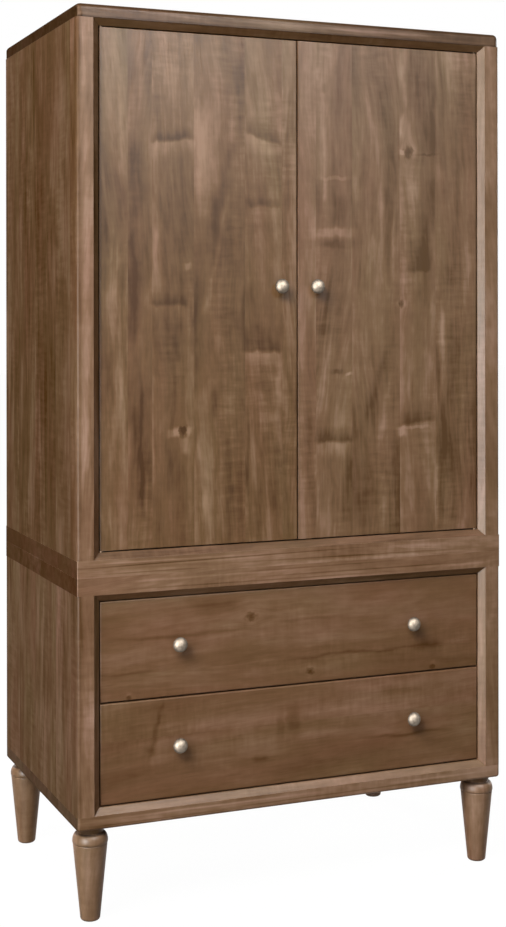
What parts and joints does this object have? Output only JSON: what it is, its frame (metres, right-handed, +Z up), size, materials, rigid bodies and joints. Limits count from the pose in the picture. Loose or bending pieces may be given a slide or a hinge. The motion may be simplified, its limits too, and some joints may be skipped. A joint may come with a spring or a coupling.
{
  "type": "door chest",
  "caption": "Tall wooden chest with a two-door cupboard over drawers, bevelled mouldings round the openings, round metal knobs and turned tapered legs.",
  "frame": {"origin": "on the floor, under the middle of the whole chest's box", "axes": "+X to the right as seen from the front, +Y towards the back, +Z up"},
  "size_m": [1.016, 0.624, 1.92],
  "materials": {
    "case_wood": "satin stained and lacquered solid wood, soft streaked grain",
    "moulding_wood": "satin stained and lacquered solid wood, grain along each strip",
    "door_wood": "satin stained and lacquered edge-glued boards, upright grain",
    "drawer_wood": "satin stained and lacquered boards, level grain",
    "leg_wood": "satin stained and lacquered turned wood",
    "box_wood": "clear matt lacquer on pale wood",
    "back_panel_wood": "stained veneered panel",
    "knob_metal": "satin nickel",
    "zinc_steel": "bright zinc plate",
    "insert_brass": "plain",
    "catch_plastic": "matt brown"
  },
  "bodies": {
    "carcass": {"back_left_leg": "leg_wood", "back_right_leg": "leg_wood", "base_board": "case_wood", "case_screws": "zinc_steel", "cupboard_floor": "case_wood", "door_catches": "catch_plastic", "door_trim_bottom": "moulding_wood", "door_trim_left": "moulding_wood", "door_trim_right": "moulding_wood", "door_trim_top": "moulding_wood", "drawer_trim_bottom": "moulding_wood", "drawer_trim_left": "moulding_wood", "drawer_trim_right": "moulding_wood", "drawer_trim_top": "moulding_wood", "front_left_leg": "leg_wood", "front_right_leg": "leg_wood", "hinge_case_leaves": "zinc_steel", "leg_bolts": "zinc_steel", "leg_inserts": "insert_brass", "lower_back_panel": "back_panel_wood", "lower_left_post": "case_wood", "lower_left_side": "case_wood", "lower_right_post": "case_wood", "lower_right_side": "case_wood", "lower_shelf": "case_wood", "lower_top_board": "case_wood", "shelf_pins": "zinc_steel", "slide_battens": "box_wood", "slide_outer_members": "zinc_steel", "top_slab": "case_wood", "upper_back_panel": "back_panel_wood", "upper_left_post": "case_wood", "upper_left_side": "case_wood", "upper_right_post": "case_wood", "upper_right_side": "case_wood", "upper_shelf": "case_wood"},
    "left_door": {"left_door_hinge_leaves": "zinc_steel", "left_door_knob": "knob_metal", "left_door_panel": "door_wood", "left_door_strike": "zinc_steel"},
    "right_door": {"right_door_hinge_leaves": "zinc_steel", "right_door_knob": "knob_metal", "right_door_panel": "door_wood", "right_door_strike": "zinc_steel"},
    "top_drawer": {"top_drawer_back": "box_wood", "top_drawer_bottom": "box_wood", "top_drawer_front": "drawer_wood", "top_drawer_knobs": "knob_metal", "top_drawer_left_side": "box_wood", "top_drawer_right_side": "box_wood", "top_drawer_slide_inner": "zinc_steel"},
    "bottom_drawer": {"bottom_drawer_back": "box_wood", "bottom_drawer_bottom": "box_wood", "bottom_drawer_front": "drawer_wood", "bottom_drawer_knobs": "knob_metal", "bottom_drawer_left_side": "box_wood", "bottom_drawer_right_side": "box_wood", "bottom_drawer_slide_inner": "zinc_steel"},
    "top_slide": {"top_slide_middle": "zinc_steel"},
    "bottom_slide": {"bottom_slide_middle": "zinc_steel"}
  },
  "joints": [
    {"name": "left_door_swing", "type": "hinge", "parent": "carcass", "child": "left_door", "pos_m": [-0.45, -0.281, 1.3255], "axis": [0, 0, -1], "range_deg": [0, 100]},
    {"name": "right_door_swing", "type": "hinge", "parent": "carcass", "child": "right_door", "pos_m": [0.45, -0.281, 1.3255], "axis": [0, 0, 1], "range_deg": [0, 100]},
    {"name": "top_drawer_travel", "type": "slide", "parent": "carcass", "child": "top_drawer", "axis": [0, -1, 0], "range_m": [0, 0.45]},
    {"name": "top_slide_travel", "type": "slide", "parent": "carcass", "child": "top_slide", "axis": [0, -1, 0], "range_m": [0, 0.225]},
    {"name": "bottom_drawer_travel", "type": "slide", "parent": "carcass", "child": "bottom_drawer", "axis": [0, -1, 0], "range_m": [0, 0.45]},
    {"name": "bottom_slide_travel", "type": "slide", "parent": "carcass", "child": "bottom_slide", "axis": [0, -1, 0], "range_m": [0, 0.225]}
  ],
  "couplings": [
    {"joint": "top_slide_travel", "follows": "top_drawer_travel", "ratio": 0.5},
    {"joint": "bottom_slide_travel", "follows": "bottom_drawer_travel", "ratio": 0.5}
  ]
}
